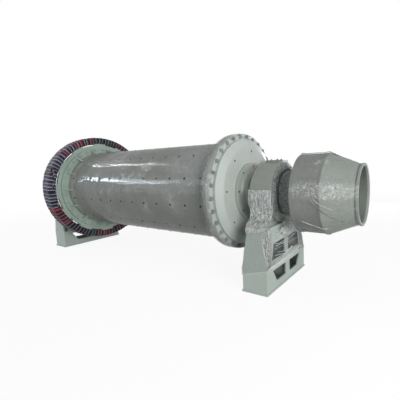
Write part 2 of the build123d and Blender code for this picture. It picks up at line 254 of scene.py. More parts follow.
def around(x, radius, angle):
    """A point at that place along the mill axis, radius and angle in degrees."""
    turn = radians(angle)
    return Vector((x, radius * cos(turn), axis_height + radius * sin(turn)))


def wave(x, y, z):
    """Smooth noise between about -1 and 1."""
    return noise.noise(Vector((x, y, z)))


def ring_wave(share, scale, z):
    """Smooth noise round a full turn, which closes on itself."""
    turn = tau * share
    return wave(cos(turn) * scale, sin(turn) * scale, z)


def smooth_step(low, high, value):
    share = min(1, max(0, (value - low) / (high - low)))
    return share * share * (3 - share - share)


def mix(first, second, share):
    return first + (second - first) * share


def grid(columns, rows, keep=None, first=0):
    """The faces of a grid whose vertices follow each other row by row."""
    faces = []
    for row in range(rows):
        for column in range(columns):
            if keep is None or keep((column + 0.5) / columns, (row + 0.5) / rows):
                low = first + row * (columns + 1) + column
                faces.append((low, low + 1, low + columns + 2, low + columns + 1))
    return faces


def new_object(name, data):
    """A new object with that data, in the scene."""
    made = bpy.data.objects.new(name, data)
    bpy.context.scene.collection.objects.link(made)
    return made


def add_mesh(name, vertices, faces, body, material, uvs=None, smooth=True):
    """A mesh object that rides on a body, with its material and, if given, its UV map."""
    mesh = bpy.data.meshes.new(name)
    mesh.from_pydata([tuple(v) for v in vertices], [], faces)
    if uvs is not None:
        layer = mesh.uv_layers.new(name="flat")
        for loop in mesh.loops:
            layer.data[loop.index].uv = uvs[loop.vertex_index]
    mesh.update()
    if smooth:
        mesh.shade_smooth()
    piece = new_object(name, mesh)
    mesh.materials.append(material)
    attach(piece, body)
    return piece


def skin(name, body, material, columns, rows, point, closed=False, keep=None):
    """A sheet on a grid. point gives each corner's place and its flat place, keep picks faces."""
    vertices, uvs = [], []
    for row in range(rows + 1):
        for column in range(columns + 1):
            place, flat = point(column / columns, row / rows)
            vertices.append(place)
            uvs.append(flat)
    piece = add_mesh(name, vertices, grid(columns, rows, keep), body, material, uvs)
    if closed:
        weld = piece.modifiers.new("seam", "WELD")
        weld.merge_threshold = weld_distance
    return piece


# Materials

class Nodes:
    """A short way to write the node tree of a material or of the world."""

    def __init__(self, owner, output="ShaderNodeOutputMaterial"):
        self.owner = owner
        owner.use_nodes = True
        self.tree = owner.node_tree
        self.tree.nodes.clear()
        self.output = self.tree.nodes.new(output)

    def add(self, kind, inputs=None, **settings):
        node = self.tree.nodes.new(kind)
        for key, value in settings.items():
            setattr(node, key, value)
        for key, value in (inputs or {}).items():
            if isinstance(value, bpy.types.NodeSocket):
                self.tree.links.new(value, node.inputs[key])
            else:
                node.inputs[key].default_value = value
        return node

    def math(self, operation, first, second=0, clamp=False):
        node = self.add("ShaderNodeMath", {0: first, 1: second}, operation=operation)
        node.use_clamp = clamp
        return node.outputs[0]

    def ramp(self, value, low, high, to_low=0, to_high=1):
        inputs = {"Value": value, "From Min": low, "From Max": high, "To Min": to_low, "To Max": to_high}
        return self.add("ShaderNodeMapRange", inputs).outputs["Result"]

    def blend(self, share, first, second):
        first, second = [(*value, 1) if isinstance(value, tuple) else value for value in (first, second)]
        node = self.add("ShaderNodeMix", {0: share, 6: first, 7: second}, data_type="RGBA")
        return node.outputs[2]

    def noise(self, vector, scale, detail=4, roughness=0.55, distortion=0):
        inputs = {"Vector": vector, "Scale": scale, "Detail": detail, "Roughness": roughness}
        inputs["Distortion"] = distortion
        return self.add("ShaderNodeTexNoise", inputs).outputs["Fac"]

    def stretch(self, vector, scale, rotation=(0, 0, 0)):
        inputs = {"Vector": vector, "Scale": scale, "Rotation": rotation}
        return self.add("ShaderNodeMapping", inputs).outputs["Vector"]

    def bump(self, height, strength, distance):
        inputs = {"Height": height, "Strength": strength, "Distance": distance}
        return self.add("ShaderNodeBump", inputs).outputs["Normal"]

    def split(self, vector):
        parts = self.add("ShaderNodeSeparateXYZ", {"Vector": vector}).outputs
        return parts["X"], parts["Y"]

    def gap(self, first, second):
        return self.math("ABSOLUTE", self.math("SUBTRACT", first, second))

    def vector(self, operation, first, second=(0, 0, 0), output="Vector"):
        return self.add("ShaderNodeVectorMath", {0: first, 1: second}, operation=operation).outputs[output]

    def seen(self):
        """What is 1 for rays from the camera, and what is 1 for rays that show the surroundings."""
        ray = self.add("ShaderNodeLightPath").outputs
        either = self.math("MAXIMUM", ray["Is Camera Ray"], ray["Is Glossy Ray"])
        return ray["Is Camera Ray"], self.math("MAXIMUM", either, ray["Is Transmission Ray"])

    def mixed(self, share, first, second):
        return self.finish(self.add("ShaderNodeMixShader", {0: share, 1: first, 2: second}).outputs[0])

    def surface(self, inputs):
        return self.finish(self.add("ShaderNodeBsdfPrincipled", inputs).outputs[0])

    def finish(self, shader):
        self.tree.links.new(shader, self.output.inputs["Surface"])
        return self.owner


def paint(
    name, colour, shade, dust=(0.4, 0.39, 0.36), roughness=0.42, coat=0, specular=0.5,
    band=None, shaded_recess=None,
):
    """Sprayed enamel with slow changes of tone, orange peel, a little dust and scuffs.

    band is the middle, the half width and the colour of a stretch of the mill axis in another tone.
    The last argument gives the middle, two half widths and the colour of painted shade within a hollow
    frame.
    """
    n = Nodes(bpy.data.materials.new(name))
    place = n.add("ShaderNodeTexCoord").outputs["Object"]
    slow = n.noise(place, 2.3, 3)
    fine = n.noise(place, 38, 5, 0.6)
    runs = n.noise(n.stretch(place, (9, 9, 1.3)), 1, 4)
    tone = n.blend(n.ramp(slow, 0.34, 0.68), colour, shade)
    tone = n.blend(n.ramp(runs, 0.52, 0.78, 0, 0.3), tone, dust)
    tone = n.blend(n.ramp(fine, 0.62, 0.8, 0, 0.22), tone, tuple(c * 0.62 for c in shade))
    if band:
        middle, half, other = band
        off = n.gap(n.split(place)[0], middle)
        tone = n.blend(n.ramp(off, half, half + band_blur, 1, 0), tone, other)
    # Painted shade on the faces within the hollow frame.
    if shaded_recess:
        middle, half_x, half_y, recess_shade = shaded_recess
        x, y = n.split(place)
        within_x = n.math("LESS_THAN", n.gap(x, middle), half_x)
        within_y = n.math("LESS_THAN", n.math("ABSOLUTE", y), half_y)
        tone = n.blend(n.math("MULTIPLY", within_x, within_y), tone, recess_shade)
    peel = n.noise(place, 240, 2)
    rough = n.ramp(n.math("ADD", fine, slow), 0.7, 1.3, roughness - 0.08, roughness + 0.14)
    relief = n.math("ADD", peel, n.math("MULTIPLY", runs, 1.5))
    return n.surface({
        "Base Color": tone,
        "Roughness": rough,
        "Specular IOR Level": specular,
        "Coat Weight": coat,
        "Coat Roughness": 0.12,
        "Normal": n.bump(relief, 0.35, peel_depth),
    })


def steel(name, colour, stain, roughness, metallic):
    """Bare machined or rolled steel with turning marks and stains."""
    n = Nodes(bpy.data.materials.new(name))
    place = n.add("ShaderNodeTexCoord").outputs["Object"]
    marks = n.noise(n.stretch(place, (160, 6, 6)), 1, 3)
    patches = n.noise(place, 11, 6, 0.62)
    tone = n.blend(n.ramp(patches, 0.45, 0.72), colour, stain)
    return n.surface({
        "Base Color": tone,
        "Metallic": metallic,
        "Roughness": n.ramp(patches, 0.3, 0.75, roughness, roughness + 0.25),
        "Normal": n.bump(marks, 0.3, mark_depth),
    })


def cloth(name, dye, stripe, stripe_share):
    """Old cloth: a dyed ground, threads of its weave, creases and pale lines along its edges. The pale line
    at each turn's raised edge is partly painted highlight, and painted shade darkens the strip where the
    turn beside it laps over.
    """
    n = Nodes(bpy.data.materials.new(name))
    flat = n.add("ShaderNodeUVMap", uv_map="flat").outputs["UV"]
    across, along = n.split(flat)
    turn = n.math("FLOOR", n.math("DIVIDE", along, section_length))
    each = n.add("ShaderNodeTexWhiteNoise", {"W": turn}, noise_dimensions="1D").outputs["Value"]
    wander = n.math("MULTIPLY", n.math("SUBTRACT", n.noise(flat, 9, 3), 0.5), 0.16)
    place = n.math("ADD", n.math("DIVIDE", across, strip_width), wander)
    pale_lines = None
    # Two pale lines across each turn: a strong one near its raised edge, partly painted highlight, and a
    # faint one of the weave.
    for middle_share, half_share, amount in ((0.92, 0.085, 1.1), (0.74, 0.03, 0.3)):
        off = n.gap(place, middle_share)
        line = n.ramp(off, half_share * 0.6, half_share, amount * stripe_share, 0)
        pale_lines = line if pale_lines is None else n.math("MAXIMUM", pale_lines, line)
    threads = n.math(
        "MULTIPLY",
        n.ramp(n.math("SINE", n.math("MULTIPLY", across, 2600)), -1, 1),
        n.ramp(n.math("SINE", n.math("MULTIPLY", along, 2600)), -1, 1),
    )
    wear = n.noise(flat, 16, 5, 0.65)
    ground = n.blend(each, tuple(c * 0.6 for c in dye), tuple(c * 1.5 for c in dye))
    striped = n.math("MULTIPLY", pale_lines, n.ramp(each, 0, 1, 0.7, 1.2), clamp=True)
    tone = n.blend(striped, ground, stripe)
    tone = n.blend(n.ramp(wear, 0.5, 0.75, 0, 0.35), tone, tuple(c * 0.35 for c in dye))
    # Painted shade: darker along the strip's low edge, where the raised edge of the turn beside it laps
    # over.
    tone = n.blend(n.ramp(place, 0.44, 0.6, 0.85, 0), tone, tuple(c * 0.15 for c in dye))
    creases = n.noise(n.stretch(flat, (9, 40, 1)), 1, 4, 0.6)
    height = n.math("ADD", n.math("MULTIPLY", threads, 0.12), creases)
    return n.surface({
        "Base Color": tone,
        "Roughness": 0.88,
        "Sheen Weight": 0.12,
        "Sheen Roughness": 0.5,
        "Specular IOR Level": 0.25,
        "Normal": n.bump(height, 0.8, weave_depth),
    })


def film(
    name, tint, veil, haze, grain, strength, plain_share, line=1, waves=0, specular=0.32,
    zones=(), zone_share=0.6, seam=None, bolts=None,
):
    """Clear stretch film: see-through and glossy, with pale stretch lines along its winding that are partly
    painted glints.

    veil is how much the flat film hides and haze how much its stretch lines add. grain is the
    lines' scale across and along the winding. plain_share is how much of it lies smooth, line is
    how wide its lines are and waves how much its shine is broken up. Each zone is the middle and
    half size, in metres on the flat film, of a place that is crinkled. seam is the pitch and the
    girth of the winding. bolts is the first place and the pitch of the bolt heads along and around,
    where the film is drawn thin.
    """
    n = Nodes(bpy.data.materials.new(name))
    flat = n.add("ShaderNodeUVMap", uv_map="flat").outputs["UV"]
    lines = n.noise(n.stretch(flat, (grain[0], grain[1], 1)), 1, 5, 0.6, 0.5)
    fine = n.noise(n.stretch(flat, (grain[0] * 2.7, grain[1] * 2.9, 1)), 1, 4, 0.6, 0.9)
    crossing = n.noise(n.stretch(flat, (grain[0] * 1.2, grain[1] * 0.9, 1), (0, 0, 0.7)), 1, 3)
    patches = n.noise(flat, 2.6, 4, 0.6)
    mask = n.ramp(patches, plain_share - 0.08, plain_share + 0.1)
    for middle_x, middle_y, half_x, half_y in zones:
        off = n.vector("SUBTRACT", flat, (middle_x, middle_y, 0))
        size = n.vector("MULTIPLY", off, (1 / half_x, 1 / half_y, 0))
        far = n.vector("LENGTH", size, output="Value")
        near = n.ramp(n.math("ADD", far, patches), 1, 1.7, zone_share, 0)
        mask = n.math("MAXIMUM", mask, near)
    ridges = None
    for noise_lines, width_share in ((lines, 0.02), (fine, 0.03), (crossing, 0.012)):
        width = width_share * line
        ridge = n.ramp(n.gap(noise_lines, 0.5), width * 0.25, width * 0.8, 1, 0)
        ridges = ridge if ridges is None else n.math("ADD", n.math("MULTIPLY", ridges, 0.8), ridge)
    ridge = n.math("MULTIPLY", ridges, mask, clamp=True)
    shown = n.math("ADD", n.ramp(fine, 0.3, 0.7, veil * 0.75, veil * 1.25), n.math("MULTIPLY", ridge, haze))
    # The pale tone of the stretch lines is partly the film's own whitening and partly painted glints.
    tone = n.blend(n.ramp(ridge, 0.1, 0.8), tint, (0.7, 0.73, 0.72))
    if seam:
        pitch, girth = seam
        x, y = n.split(flat)
        turns = n.math("ADD", n.math("DIVIDE", x, pitch), n.math("DIVIDE", y, girth))
        turns = n.math("ADD", turns, n.math("MULTIPLY", patches, 0.25))
        edge = n.ramp(n.math("FRACT", turns), 0, 0.05, 1, 0)
        shown = n.math("ADD", shown, n.math("MULTIPLY", edge, 0.1))
    shown = n.math("MINIMUM", shown, 0.97)
    if bolts:
        square = None
        for socket, (first, pitch) in zip(n.split(flat), bolts):
            place = n.math("DIVIDE", n.math("SUBTRACT", socket, first), pitch)
            off = n.math("SUBTRACT", n.math("FRACT", n.math("ADD", place, 0.5)), 0.5)
            off = n.math("MULTIPLY", off, pitch)
            off = n.math("MULTIPLY", off, off)
            square = off if square is None else n.math("ADD", square, off)
        clear = n.ramp(n.math("SQRT", square), clear_core, clear_reach, 0.12, 1)
        shown = n.math("MULTIPLY", shown, clear)
    swell = n.noise(n.stretch(flat, (grain[0], grain[1] * 3, 1)), 1, 3, 0.65)
    height = n.math("ADD", n.math("MULTIPLY", ridge, 0.7), n.math("MULTIPLY", swell, waves))
    return n.surface({
        "Base Color": tone,
        "Roughness": n.ramp(fine, 0.3, 0.7, 0.05, 0.13),
        "Specular IOR Level": specular,
        "Alpha": shown,
        "Normal": n.bump(height, strength, crinkle_depth),
    })


pedestal_tones = ((0.39, 0.44, 0.405), (0.35, 0.4, 0.365))
# The neck's tones: a dark green-grey, darkened further as painted shade for the neck and back plate between
# the bearing and the feeder.
neck_shade_tones = ((0.135, 0.165, 0.145), (0.095, 0.12, 0.104))
mill_paint = paint("mill_paint", (0.285, 0.299, 0.277), (0.248, 0.26, 0.241), roughness=0.55, specular=0.15)
pedestal_paint = paint("pedestal_paint", *pedestal_tones, roughness=0.5, specular=0.3)
bearing_paint = paint("bearing_paint", (0.32, 0.345, 0.315), (0.285, 0.31, 0.28), roughness=0.45)
cone_paint = paint("cone_paint", (0.365, 0.4, 0.368), (0.32, 0.35, 0.322), roughness=0.55, specular=0.15)
ring_paint = paint("ring_paint", (0.27, 0.3, 0.275), (0.225, 0.25, 0.23))
head_paint = paint("head_paint", (0.41, 0.45, 0.425), (0.365, 0.405, 0.38), roughness=0.34, coat=0.15)
gear_paint = paint("gear_paint", (0.34, 0.42, 0.365), (0.285, 0.36, 0.31))
neck_shade_paint = paint("neck_shade_paint", *neck_shade_tones, roughness=0.36)
flange_back = head_hub_height + trunnion_flange_thickness / 2
flange_places = {"feed": feed_face + flange_back, "discharge": discharge_face - flange_back}
# Trunnions in the neck's darkened tones, which are painted shade, with their flanges in a lighter paint.
trunnion_paints = {
    end: paint(
        end + "_trunnion_paint", *neck_shade_tones, roughness=0.36,
        band=(place, trunnion_flange_thickness * 2.4, (0.3, 0.325, 0.3)),
    )
    for end, place in flange_places.items()
}
lining_steel = steel("lining_steel", (0.22, 0.2, 0.18), (0.12, 0.08, 0.05), 0.45, 0.7)
bronze = steel("bearing_bronze", (0.55, 0.38, 0.16), (0.3, 0.2, 0.09), 0.35, 1)
# Near black, darker than blackened steel: on the liner and head bolts it is partly painted shade, the dark
# of open bolt holes.
dark_bolt_paint = paint(
    "dark_bolts", (0.018, 0.019, 0.017), (0.012, 0.012, 0.011), dust=(0.05, 0.05, 0.045),
    roughness=0.6, specular=0.06,
)
painted_nuts = paint("painted_nuts", (0.215, 0.24, 0.22), (0.15, 0.17, 0.155))

# Frame paints of both pedestals, darkened within their hollow cores as painted shade.
core_inside = (core_half_length - frame_wall, core_top_half_width - frame_wall)
frame_paints = {
    end: paint(
        end + "_frame_paint", *pedestal_tones, roughness=0.5, specular=0.3,
        shaded_recess=(place, *core_inside, (0.15, 0.175, 0.165)),
    )
    for end, place in (("feed", 0), ("discharge", far_place))
}

node_looks = (
    ("bearing_base", bearing_paint), ("bearing_cap", bearing_paint), ("bearing_liner", bronze),
    ("pedestal", pedestal_paint), ("_head", head_paint), ("girth_gear", gear_paint),
    ("gear_shell", gear_paint), ("feed_shell", ring_paint), ("shell_lining", lining_steel),
    ("back_plate", neck_shade_paint), ("feeder_cone", cone_paint), ("feeder_mouth", cone_paint),
)
for name, node in nodes.items():
    end = name.split("_")[0]
    chosen = next((look for part, look in node_looks if part in name), mill_paint)
    if "frame" in name:
        chosen = frame_paints[end]
    elif "trunnion" in name:
        chosen = trunnion_paints[end]
    node.data.materials.clear()
    node.data.materials.append(chosen)


# Fasteners

def stack(rings, sides, vertices, faces, place):
    """Rings of (radius, height) joined into one closed form and moved by the matrix place."""
    start = len(vertices)
    for radius, height in rings:
        for corner in range(sides):
            turn = tau * corner / sides
            vertices.append(place @ Vector((radius * cos(turn), radius * sin(turn), height)))
    for level in range(len(rings) - 1):
        low = start + level * sides
        for corner in range(sides):
            after = (corner + 1) % sides
            faces.append((low + corner, low + after, low + sides + after, low + sides + corner))
    faces.append(tuple(range(start + sides - 1, start - 1, -1)))
    top = start + (len(rings) - 1) * sides
    faces.append(tuple(range(top, top + sides)))


# Forms of fasteners: the sides of each stack and its rings, as shares of the bolt's size
nut_and_stud_shares = [
    (18, [(1.05, 0), (1.05, 0.14)]),
    (6, [(0.893, 0.14), (0.95, 0.24), (0.95, 0.89), (0.817, 0.99)]),
    (10, [(0.5, 0.14), (0.5, 1.29), (0.38, 1.37)]),
]
sunk_bolt_shares = [
    (20, [(1.25, 0), (1.25, 0.06), (1.02, 0.12)]),
    (20, [(1, 0), (1, 0.14), (0.86, 0.26), (0.45, 0.32)]),
]


def facing(point, outward, turn):
    """A matrix that stands a fastener on point, along outward, turned about itself."""
    rotation = outward.to_track_quat("Z", "Y").to_matrix().to_4x4()
    return Matrix.Translation(point) @ rotation @ Matrix.Rotation(turn, 4, "Z")


def fasteners(name, body, material, size, seats, shares=nut_and_stud_shares):
    """One piece with a fastener on each seat, which is a point and an outward direction."""
    vertices, faces = [], []
    for point, outward in seats:
        place = facing(point, outward, random.uniform(0, tau))
        for sides, rings in shares:
            sized = [(radius * size, height * size) for radius, height in rings]
            stack(sized, sides, vertices, faces, place)
    return add_mesh(name, vertices, faces, body, material, smooth=False)


def circle_seats(places, radius, count, first_angle):
    """Seats on a bolt circle about the mill axis, at each place (x, direction)."""
    return [
        (around(x, radius, first_angle + 360 * seat / count), Vector((direction, 0, 0)))
        for x, direction in places
        for seat in range(count)
    ]


def corner_seats(half_x, half_y, height):
    """Seats that face up, at four corners on each stand."""
    return [
        (Vector((centre + side_x * half_x, side_y * half_y, height)), Vector((0, 0, 1)))
        for centre in (0, far_place)
        for side_x in (-1, 1)
        for side_y in (-1, 1)
    ]


liner_first = gear_joint + liner_end_distance
liner_pitch = (feed_joint - liner_end_distance - liner_first) / (liner_bolts_in_row - 1)
liner_seats = []
for column in range(liner_bolts_in_row):
    x = liner_first + liner_pitch * column
    for row in range(liner_rows):
        seat = around(x, shell_radius, liner_row_angle + 360 * row / liner_rows)
        liner_seats.append((seat, (seat - Vector((x, 0, axis_height))).normalized()))
fasteners("shell_liner_bolts", "drum", dark_bolt_paint, liner_bolt_radius, liner_seats, sunk_bolt_shares)

feed_flange_places = ((feed_back, -1), (feed_face, 1))
gear_flange_places = ((gear_joint + flange_thickness, 1), (discharge_face, -1))
tail_places = ((tail_face + back_plate_thickness, 1), (tail_face - tail_flange_thickness, -1))
fasteners(
    "feed_flange_bolts", "drum", painted_nuts, feed_bolt_size,
    circle_seats(feed_flange_places, flange_bolt_circle, flange_bolt_count, feed_bolt_angle),
)
fasteners(
    "gear_flange_bolts", "drum", gear_paint, gear_bolt_size,
    circle_seats(gear_flange_places, flange_bolt_circle, flange_bolt_count, gear_bolt_angle),
)
head_bolts = []
for face, way in ((feed_face, 1), (discharge_face, -1)):
    dish = (face + way * (head_dish_height + head_bolt_lift), way)
    hub = (face + way * (head_hub_height + trunnion_flange_thickness), way)
    head_bolts += circle_seats([dish], head_bolt_circle, head_bolt_count, head_bolt_angle)
    head_bolts += circle_seats([hub], trunnion_bolt_circle, head_bolt_count, head_bolt_angle)
fasteners("head_bolts", "drum", dark_bolt_paint, head_bolt_radius, head_bolts, sunk_bolt_shares)
fasteners(
    "feeder_neck_bolts", "drum", painted_nuts, tail_bolt_size,
    circle_seats(tail_places, tail_bolt_circle, tail_bolt_count, tail_bolt_angle),
)
foot_seats = corner_seats(foot_bolt_x, foot_bolt_y, seat_height + foot_height)
fasteners("bearing_foot_bolts", "stand", painted_nuts, foot_bolt_size, foot_seats)
cover_seats = corner_seats(cover_bolt_x, cover_bolt_y, cover_top)
fasteners("bearing_cover_bolts", "stand", dark_bolt_paint, cover_bolt_size, cover_seats)


# Cloth strips wound round the gear's rim

dyes = {
    "navy": ((0.022, 0.025, 0.042), (0.3, 0.31, 0.38), 0.95),
    "lavender": ((0.04, 0.038, 0.062), (0.34, 0.33, 0.41), 1),
    "crimson": ((0.15, 0.014, 0.03), (0.34, 0.15, 0.2), 0.7),
    "maroon": ((0.05, 0.018, 0.028), (0.26, 0.2, 0.25), 0.7),
    "charcoal": ((0.02, 0.023, 0.026), (0.22, 0.23, 0.25), 0.8),
    "bottle_green": ((0.012, 0.05, 0.04), (0.12, 0.2, 0.18), 0.6),
    "black": ((0.013, 0.013, 0.018), (0.22, 0.2, 0.24), 0.8),
}
strip_plan = [
    (46, 6, "maroon"), (68.5, 3, "charcoal"), (80, 5, "charcoal"), (98.5, 1, "crimson"),
    (102.5, 2, "navy"), (110, 1, "crimson"), (114, 1, "navy"), (117.5, 1, "crimson"),
    (121, 3, "lavender"), (132, 1, "crimson"), (136, 5, "lavender"), (154.5, 1, "maroon"),
    (158.5, 1, "navy"), (162, 3, "lavender"), (173, 6, "navy"), (195.5, 2, "crimson"),
    (203, 1, "black"), (207, 1, "crimson"), (210.5, 1, "black"), (214, 1, "crimson"),
    (218, 8, "black"), (248, 1, "bottle_green"), (252, 1, "black"), (255.5, 1, "crimson"),
    (259.5, 1, "charcoal"), (263, 2, "crimson"), (270.5, 5, "maroon"), (289, 8, "navy"),
    (319, 9, "charcoal"), (353, 8, "lavender"), (383, 6, "navy"),
]


rim_outer = (wrap_high[2] - wrap_low[2]) / 2
near_x, far_x = wrap_high[0] - rim_inset_x, wrap_low[0] + rim_inset_x
section_flats = near_x - far_x + rim_outer - rim_inner - section_cut - 4 * rim_corner
section_length = 2 * section_flats + tau * rim_corner
rim_quarter = pi * rim_corner / 2
near, far = near_x - rim_corner, far_x + rim_corner
inner, outer = rim_inner - edge_gap + rim_corner, rim_outer - rim_inset_outer - rim_corner
rim_centres = [(far, outer), (near, outer), (near, inner), (far, inner), (far, outer)]


def rim_section(share):
    """A point (x, radius) and its outward direction on the rounded section round the rim."""
    sides = [(start, end, dist(start, end)) for start, end in zip(rim_centres, rim_centres[1:])]
    travel = (share % 1) * sum(flat + rim_quarter for start, end, flat in sides)
    for side, (start, end, flat) in enumerate(sides):
        if travel <= flat + rim_quarter or side == 3:
            break
        travel -= flat + rim_quarter
    turn = pi / 2 * (1 - side) - max(0, travel - flat) / rim_corner
    out = (cos(turn), sin(turn))
    middle = [mix(a, b, min(1, travel / flat)) for a, b in zip(start, end)]
    return (middle[0] + out[0] * rim_corner, middle[1] + out[1] * rim_corner), out


strip_width = radians(strip_pitch_angle) * rim_outer * (1 + strip_overlap_share)
strip_reach = degrees(strip_width / rim_outer)
cloths = {name: cloth("cloth_" + name, *made) for name, made in dyes.items()}


def wound_strip(index, first_angle, turns, dye):
    """One strip of cloth wound round the rim, each turn lapping over the one before it."""

    def place(share, part):
        turn = part * turns
        (x, radius), out = rim_section(turn + 0.03 * index)
        sway = 0.9 * wave(turn * 1.7, index * 3.1, 0)
        pull = 1 + 0.1 * wave(turn * 2.9, index * 1.7, 4)
        angle = first_angle + strip_pitch_angle * turn + sway + strip_reach * pull * (share - 0.5)
        crease = wave(share * 2.2, turn * 7, index * 5)
        lift = strip_gap + strip_rise * share + strip_crown * sin(pi * share) + strip_crease * crease
        flat = (share * strip_width, turn * section_length)
        return around(x + out[0] * lift, radius + out[1] * lift, angle), flat

    name = f"gear_cloth_strip_{index + 1}"
    rows = turns * strip_around
    piece = skin(name, "drum", cloths[dye], strip_across - 1, rows, place)
    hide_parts("gear_cloth_wrap")


for index, (first_angle, turns, dye) in enumerate(strip_plan):
    wound_strip(index, first_angle, turns, dye)


# Stretch film

def along(profile, share):
    """The point at that share of the length of a line of points."""
    travel = share * line_length(profile)
    for start, end in zip(profile, profile[1:]):
        length = dist(start, end)
        if travel <= length:
            part = travel / length if length else 0
            return [mix(a, b, part) for a, b in zip(start, end)]
        travel -= length
    return list(profile[-1])


def line_length(profile):
    return sum(dist(a, b) for a, b in zip(profile, profile[1:]))


def gusset_sag(angle):
    """How far film drawn over the gussets falls in between them, as a share of its full sag."""
    step = 360 / gusset_count
    return sin(pi * (((angle - feed_gusset_angle) % step) / step))


gusset_foot = feed_back - gusset_length
rim_film = flange_radius + node_film
lap_end = gusset_foot - film_lap
shell_film_line = [
    (gear_joint + film_start, shell_radius + film_gap),
    (lap_end, shell_radius + film_gap),
    (lap_end + film_fold, shell_radius + node_film),
    (gusset_foot - gusset_edge, shell_radius + node_film),
    (gusset_foot, shell_radius + node_film + gusset_edge),
    (feed_back - film_nut_room, rim_film - edge_gap),
    (feed_back, rim_film),
    (feed_face, rim_film),
    (feed_face + film_face_gap, rim_film - film_bend),
    (feed_face + film_face_gap, flange_radius - film_lip),
]


def ruffle(flat_x, flat_y, seed, size):
    """Crinkles that run along the winding, for a flat place in metres."""
    first = wave(flat_x * 16, flat_y * 4.2, seed)
    second = wave(flat_x * 41, flat_y * 11, seed + 7)
    return size * (1 - abs(first) * 2.2 + 0.5 * second)


def bolt_tent(x, angle):
    """How far the film stands off the shell over the nearest liner bolt."""
    nearest = round((x - liner_first) / liner_pitch)
    nearest = min(liner_bolts_in_row - 1, max(0, nearest))
    off_x = x - liner_first - nearest * liner_pitch
    step = 360 / liner_rows
    off_angle = (angle - liner_row_angle + step / 2) % step - step / 2
    distance = hypot(off_x, radians(off_angle) * shell_radius)
    slope = 1 - smooth_step(tent_core, tent_reach, distance)
    return tent_height * slope * slope


def shell_film_point(u, v):
    angle = 360 * u
    x, radius = along(shell_film_line, v)
    flat_x = line_length(shell_film_line) * v
    flat_y = radians(angle) * shell_radius
    if x < gusset_foot:
        crumple = smooth_step(0, 0.5, wave(x * 0.9, sin(radians(angle)) * 1.3, 3))
        winding = (x / film_pitch + u) % 1
        crinkle = ruffle(x, flat_y, 1, mix(*shell_ruffle, crumple))
        radius += max(0, crinkle) + film_turn_rise * winding + bolt_tent(x, angle)
    elif x < feed_back:
        rise = (x - gusset_foot) / (feed_back - gusset_foot)
        sag = edge_gap * gusset_sag(angle) * sin(pi * rise)
        radius += abs(ruffle(x, flat_y, 2, film_gap)) - sag
        radius = max(radius, shell_radius + film_gap)
    else:
        radius += abs(ruffle(x, flat_y, 5, rim_ruffle)) if x <= feed_face else 0
        x += edge_gap * wave(u * 90, v * 40, 2)
    return around(x, radius, angle), (flat_x, flat_y)


def shell_film_keep(u, v):
    """Ragged ends of the film, at the gear and on the head's face."""
    start = 0.01 + 0.012 * ring_wave(u, 5, 1)
    ragged = 0.99 + 0.012 * ring_wave(u, 9, 6)
    return start < v < ragged


girth = tau * shell_radius
shell_crinkles = (
    (3.1, radians(140) * shell_radius, 0.7, 0.42),
    (3.75, girth / 2, 0.16, 1.2),
)
shell_bolts = (
    (liner_end_distance - film_start, liner_pitch),
    (radians(liner_row_angle) * shell_radius, girth / liner_rows),
)
feeder_crinkles = ((0.75, radians(171) * feeder_radius, 0.75, 0.15),)
shell_film = film(
    "shell_film", (0.165, 0.172, 0.162), 0.32, 0.4, (44, 12), 0.13, 0.58, waves=0.55,
    specular=0.24, zones=shell_crinkles, zone_share=0.75, seam=(film_pitch, girth), bolts=shell_bolts,
)
feeder_film = film(
    "feeder_film", (0.15, 0.153, 0.146), 0.26, 0.8, (10, 14), 0.3, 0.6, line=0.9, waves=0.8,
    specular=0.24, zones=feeder_crinkles, zone_share=0.9,
)
smooth_film = film("smooth_film", (0.2, 0.205, 0.192), 0.24, 0.26, (20, 9), 0.2, 0.66)
face_film = film("face_film", (0.35, 0.395, 0.36), 0.24, 0.22, (20, 9), 0.2, 0.68, line=1.5)
stand_film = film("stand_film", (0.105, 0.11, 0.102), 0.36, 0.46, (36, 5), 0.7, 0.16, line=1.9)
window_film = film("window_film", (0.5, 0.53, 0.53), 0.04, 0.3, (9, 40), 0.5, 0.46, line=1.3)
# Dark film that is painted shade: it darkens the neck, the bearing's end and folds on the feeder, where
# they lie in shade.
painted_shade_film = film("painted_shade_film", (0.034, 0.048, 0.04), 0.78, 0.12, (30, 26), 0.9, 0.25, line=1.6)
# Loose crumpled film: near white, partly its own whiteness and partly painted glints.
loose_film = film("loose_film", (0.9, 0.92, 0.92), 0.44, 0.45, (40, 12), 0.35, 0.2, line=1.6, specular=0.9)
skin(
    "shell_stretch_film", "drum", shell_film, film_arcs,
    round(line_length(shell_film_line) / film_step), shell_film_point, True, shell_film_keep,
)
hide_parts("feed_flange_film")

tail_end = tail_face - hair_gap
neck_end_radius = tail_flange_radius + film_bend
feeder_film_line = [
    (tail_end, neck_end_radius),
    (tail_end + neck_flare_length, tail_flange_radius + neck_flare_height),
    (drum_low[0] - film_bend, feeder_rim - film_fold),
    (drum_low[0], feeder_rim + film_gap),
    (drum_low[0] + drum_rim_length, feeder_rim + film_gap),
    (drum_low[0] + film_rise, feeder_radius + edge_gap),
    (drum_high[0] - film_rise, feeder_radius + edge_gap),
    (drum_high[0] - drum_rim_length, feeder_rim + film_gap),
    (drum_high[0], feeder_rim + film_gap),
    (drum_high[0] + cone_start_length, feeder_radius - film_hem),
    (mouth_low[0] - film_slope, feeder_mouth_radius + mouth_flare_height),
    (mouth_low[0], mouth_rim + film_gap),
    (mouth_high[0] + film_gap, mouth_rim + film_gap),
    (mouth_high[0] + edge_gap, mouth_rim - film_slope),
]


